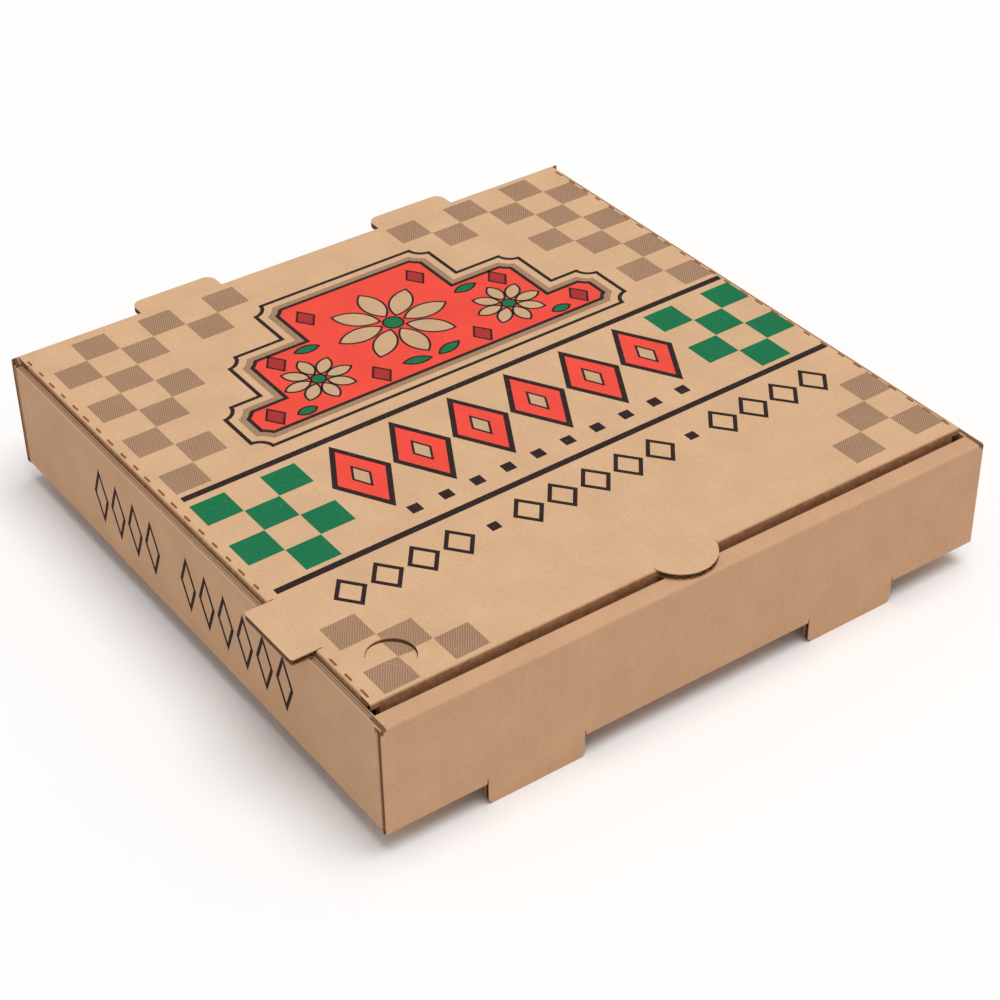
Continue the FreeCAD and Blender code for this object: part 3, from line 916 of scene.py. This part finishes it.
class CheckOperator(bpy.types.Operator):
    """Print the grey hatched and the green checks, and the two long rules"""
    bl_idname = "pizza_box.checks"
    bl_label = "Checks and rules"

    def execute(self, context):
        ink = context.scene.pizza_box_print
        right = PRINT_HALF - BLOCK_COLUMNS * ink.square_width
        grey = check_squares(GREY_CORNER, -PRINT_HALF, PRINT_REAR)
        grey += [flipped(square) for square in grey]
        grey += check_squares(GREY_FRONT_RIGHT, right, GREY_FRONT_TOP)
        patches, on_tongue = [printed(filled(square)) for square in grey], []
        small_left = SMALL_CHECK_INSET - PRINT_HALF
        for outline in check_squares(GREY_FRONT_LEFT, small_left, SMALL_CHECK_TOP, SMALL_CHECK):
            square, _ = printed(filled(outline))
            inside, _ = split(square, tongue_outline(VENT_RADIUS - TONGUE_GAP, -TONGUE_GAP))
            _, outside = split(square, tongue_outline(VENT_RADIUS + VENT_KERF + TONGUE_GAP, TONGUE_GAP))
            patches.append(outside)
            on_tongue.append(inside)
        ink_piece("grey_checks", LID, patches, named("grey_hatching"))
        ink_piece("grey_check_on_vent", pushed_in(LID), on_tongue, named("grey_hatching"), body="vent")
        green = check_squares(GREEN_BLOCK, -PRINT_HALF, GREEN_TOP)
        green += check_squares(GREEN_BLOCK, right, GREEN_TOP)
        lid_print("green_checks", [filled(square) for square in green], named("green_ink"))
        rules = [rectangle(-PRINT_HALF, v - ink.rule / 2, PRINT_HALF, v + ink.rule / 2)
                 for v in (UPPER_RULE, LOWER_RULE)]
        lid_print("rules", [filled(rule) for rule in rules], named("black_ink"))
        return {"FINISHED"}


# Plaque: the half width and the rear edge of each step, its front edge, the bites' radius, and how far in
# the red field starts and how wide the shade beside it is
PLAQUE_STEPS = ((104.0 * MM, 62.0 * MM), (82.0 * MM, 96.0 * MM), (50.0 * MM, 127.0 * MM))
PLAQUE_LOW = 24.0 * MM
PLAQUE_BITE = 7.0 * MM
PLAQUE_BORDER = 8.5 * MM
PLAQUE_SHADE = 3.0 * MM

# Thickness of the fine and of the bold lines, in parts of the usual one
FINE_LINE, BOLD_LINE = 0.55, 1.3

# Each rosette, in millimetres: across, up, where its leaves start, reach and width of a leaf, and leaves
ROSETTES = ((0.0, 76.0, 7.0, 22.0, 10.0, 8), (-53.0, 57.0, 4.8, 12.0, 6.0, 8),
            (53.0, 57.0, 4.8, 12.0, 6.0, 8))
HUB_SHARE, HUB_STEPS = 0.62, 28

# Small lozenges and leaves to either side, in millimetres: across and up, and a leaf's reach and its turn
# in degrees
SMALL_LOZENGES = ((31.0, 104.0), (62.0, 79.0), (84.0, 43.0), (28.0, 43.0))
SMALL_LOZENGE = (4.2 * MM, 6.2 * MM)
SMALL_LEAVES = ((3.0, 41.0, 12.0, 15.0), (39.0, 80.5, 11.0, 5.0), (66.0, 38.5, 8.5, 0.0))
SMALL_LEAF_WIDTH = 4.6 * MM


class PlaqueOperator(bpy.types.Operator):
    """Print the large red plaque with its rosettes"""
    bl_idname = "pizza_box.plaque"
    bl_label = "Plaque"

    def execute(self, context):
        ink = context.scene.pizza_box_print
        fine = ink.line * FINE_LINE

        def outline(inset):
            return stepped(PLAQUE_STEPS, PLAQUE_LOW, PLAQUE_BITE, inset)

        leaves, hubs, lozenges, greens = [], [], [], []
        for u, v, hub, reach, width, count in ROSETTES:
            hubs.append(circle(u * MM, v * MM, hub * HUB_SHARE * MM, HUB_STEPS))
            for k in range(count):
                angle = math.tau * k / count
                leaves.append(leaf((u + hub * math.cos(angle)) * MM, (v + hub * math.sin(angle)) * MM,
                                   reach * MM, width * MM, angle))
        for u, v in SMALL_LOZENGES:
            for side in (-1, 1):
                lozenges.append(lozenge(side * u * MM, v * MM, *SMALL_LOZENGE))
        for u, v, reach, turn in SMALL_LEAVES:
            shape = leaf(u * MM, v * MM, reach * MM, SMALL_LEAF_WIDTH, math.radians(turn))
            greens += [shape, flipped(shape)]
        borders = [ring(outline(0), outline(ink.line)),
                   ring(outline(PLAQUE_BORDER), outline(PLAQUE_BORDER + ink.line))]
        lid_print("plaque_field", [filled(outline(PLAQUE_BORDER + ink.line / 2))], named("red_ink"))
        lid_print("plaque_shade", [ring(outline(PLAQUE_BORDER - PLAQUE_SHADE), outline(PLAQUE_BORDER))],
                  named("grey_hatching"))
        lid_print("plaque_leaves", [filled(loop) for loop in leaves], named("tan_ink"), 1)
        lid_print("plaque_lozenges", [filled(loop) for loop in lozenges], named("deep_red_ink"), 1)
        lid_print("plaque_greens", [filled(loop) for loop in greens + hubs], named("green_ink"), 1)
        drawn = [drawn_line(loop, fine) for loop in leaves + lozenges + greens + hubs]
        lid_print("plaque_lines", borders + drawn, named("black_ink"), 2)
        return {"FINISHED"}


def lozenge_row(middle, v, pitch, count, half_width, half_height, left_out=()):
    """Lozenges side by side in a row about its middle."""
    return [lozenge(middle + (k - (count - 1) / 2) * pitch, v, half_width, half_height)
            for k in range(count) if k not in left_out]


def dot_row(v, pitch, count, size, chosen=None):
    """Square dots side by side in a row, or only those chosen by number."""
    loops = []
    for k in range(count) if chosen is None else chosen:
        u = (k - (count - 1) / 2) * pitch
        loops.append(rectangle(u - size / 2, v - size / 2, u + size / 2, v + size / 2))
    return loops


# Rows of lozenges: height, pitch, count, and half the width and height of each. The hearts are half sizes
TALL_ROW = (-17.0 * MM, 31.0 * MM, 6, 12.0 * MM, 21.5 * MM)
TALL_HEART = (3.6 * MM, 7.0 * MM)
LOW_ROW = (-79.5 * MM, 17.6 * MM, 15, 5.6 * MM, 7.2 * MM)
WALL_ROW = (27.0 * MM, 15.6 * MM, 11, 4.6 * MM, 10.5 * MM)
WALL_ROW_MIDDLE = 5.0 * MM

# Row of dots: height, pitch, count and size. In the low row dots stand in the place of two lozenges, and
# in the wall's row one is left out
DOTS = (-49.5 * MM, 16.0 * MM, 10, 5.6 * MM)
LOW_ROW_DOTS = (4, 10)
LOW_DOT = 5.0 * MM
WALL_ROW_GAP = (4,)


class RowOperator(bpy.types.Operator):
    """Print the rows of lozenges and square dots on the lid and the left wall"""
    bl_idname = "pizza_box.rows"
    bl_label = "Rows"

    def execute(self, context):
        ink = context.scene.pizza_box_print
        tall = lozenge_row(0, *TALL_ROW)
        hearts = lozenge_row(0, *TALL_ROW[:3], *TALL_HEART)
        lid_print("tall_lozenges", [filled(loop) for loop in tall], named("red_ink"))
        lid_print("tall_lozenge_hearts", [filled(loop) for loop in hearts], named("tan_ink"), 1)
        drawn = [drawn_line(loop, ink.line * BOLD_LINE) for loop in tall]
        drawn += [drawn_line(loop, ink.line * FINE_LINE) for loop in hearts]
        lid_print("tall_lozenge_lines", drawn, named("black_ink"), 2)
        low = [drawn_line(loop, ink.line) for loop in lozenge_row(0, *LOW_ROW, LOW_ROW_DOTS)]
        dots = dot_row(*DOTS) + dot_row(*LOW_ROW[:3], LOW_DOT, LOW_ROW_DOTS)
        lid_print("dark_rows", low + [filled(loop) for loop in dots], named("black_ink"))
        wall = [drawn_line(loop, ink.line)
                for loop in lozenge_row(WALL_ROW_MIDDLE, *WALL_ROW, WALL_ROW_GAP)]
        ink_piece("wall_row", LEFT_WALL, wall, named("black_ink"), body="tray")
        return {"FINISHED"}


# Floor, lamp and camera. The lens is given for this width of sensor, in millimetres
FLOOR_RADIUS, FLOOR_SIDES = 4.0, 96
LAMP_WIDTH = math.radians(45)
LAMP_AIM = Vector((-0.13, 0.15, -1.0))
CAMERA_EYE = Vector((-478.6, -697.6, 625.0)) * MM
CAMERA_TARGET = Vector((-17.8, -37.3, 30.0)) * MM
CAMERA_ROLL = math.radians(-0.95)
SENSOR_WIDTH = 36.0
NEAR_CLIP = 0.01


class StageOperator(bpy.types.Operator):
    """Set up the floor, the light and the camera"""
    bl_idname = "pizza_box.stage"
    bl_label = "Stage"

    def execute(self, context):
        stage = context.scene.pizza_box_stage
        make_floor(stage)
        make_light(stage)
        make_camera(stage)
        return {"FINISHED"}


def make_floor(stage):
    def build(shape):
        bmesh.ops.create_circle(shape, cap_ends=True, segments=FLOOR_SIDES, radius=FLOOR_RADIUS)
        bmesh.ops.translate(shape, verts=shape.verts, vec=(0, 0, TRAY_LOW.z))

    material = bpy.data.materials.new("pale_floor")
    material.use_nodes = True
    shader = material.node_tree.nodes["Principled BSDF"]
    shader.inputs["Base Color"].default_value = (*stage.floor, 1.0)
    shader.inputs["Roughness"].default_value = 1.0
    shader.inputs["Specular IOR Level"].default_value = 0.0
    new_piece("floor", build, material, None)


def make_light(stage):
    world = bpy.data.worlds.new("studio")
    bpy.context.scene.world = world
    world.use_nodes = True
    tree = Tree(world.node_tree)
    tree.tree.nodes.clear()
    rays = tree.add("ShaderNodeLightPath").outputs
    seen = tree.largest(rays["Is Camera Ray"], rays["Is Glossy Ray"], rays["Is Transmission Ray"])
    strength = tree.range(seen, 0.0, 1.0, stage.sky, 1.0)
    background = tree.add("ShaderNodeBackground", {"Color": (1, 1, 1, 1), "Strength": strength})
    output = tree.add("ShaderNodeOutputWorld")
    tree.link(background.outputs[0], output.inputs[0])
    lamp = bpy.data.lights.new("overhead", "SUN")
    lamp.energy = stage.lamp
    lamp.angle = LAMP_WIDTH
    holder = bpy.data.objects.new("overhead", lamp)
    bpy.context.scene.collection.objects.link(holder)
    holder.rotation_euler = LAMP_AIM.to_track_quat("-Z", "Y").to_euler()


def make_camera(stage):
    data = bpy.data.cameras.new("camera")
    data.lens = stage.lens
    data.sensor_width = SENSOR_WIDTH
    data.clip_start = NEAR_CLIP
    camera = bpy.data.objects.new("camera", data)
    bpy.context.scene.collection.objects.link(camera)
    camera.location = CAMERA_EYE
    look = (CAMERA_TARGET - CAMERA_EYE).to_track_quat("-Z", "Y")
    camera.rotation_euler = (look @ Matrix.Rotation(CAMERA_ROLL, 4, "Z").to_quaternion()).to_euler()
    bpy.context.scene.camera = camera
    bpy.context.scene.view_settings.view_transform = "Standard"


OPERATORS = (BoardOperator, CreaseOperator, EdgeOperator, CheckOperator, PlaqueOperator, RowOperator,
             StageOperator)
SETTINGS = {"pizza_box_board": BoardLook, "pizza_box_print": PrintLook, "pizza_box_stage": StageLook}


class PizzaBoxPanel(bpy.types.Panel):
    """Lists the pieces of the pizza box and their sizes and colours"""
    bl_idname = "VIEW3D_PT_pizza_box"
    bl_label = "Pizza Box"
    bl_space_type = "VIEW_3D"
    bl_region_type = "UI"
    bl_category = "Pizza Box"

    def draw(self, context):
        for operator in OPERATORS:
            self.layout.operator(operator.bl_idname)
        for name, kind in SETTINGS.items():
            box = self.layout.box()
            for field in kind.__annotations__:
                box.prop(getattr(context.scene, name), field)


def register():
    for kind in (*SETTINGS.values(), *OPERATORS, PizzaBoxPanel):
        bpy.utils.register_class(kind)
    for name, kind in SETTINGS.items():
        setattr(bpy.types.Scene, name, PointerProperty(type=kind))


def unregister():
    for name in SETTINGS:
        delattr(bpy.types.Scene, name)
    for kind in reversed((*SETTINGS.values(), *OPERATORS, PizzaBoxPanel)):
        bpy.utils.unregister_class(kind)


def main():
    register()
    for operator in OPERATORS:
        group, name = operator.bl_idname.split(".")
        getattr(getattr(bpy.ops, group), name)()


if __name__ == "__main__":
    main()
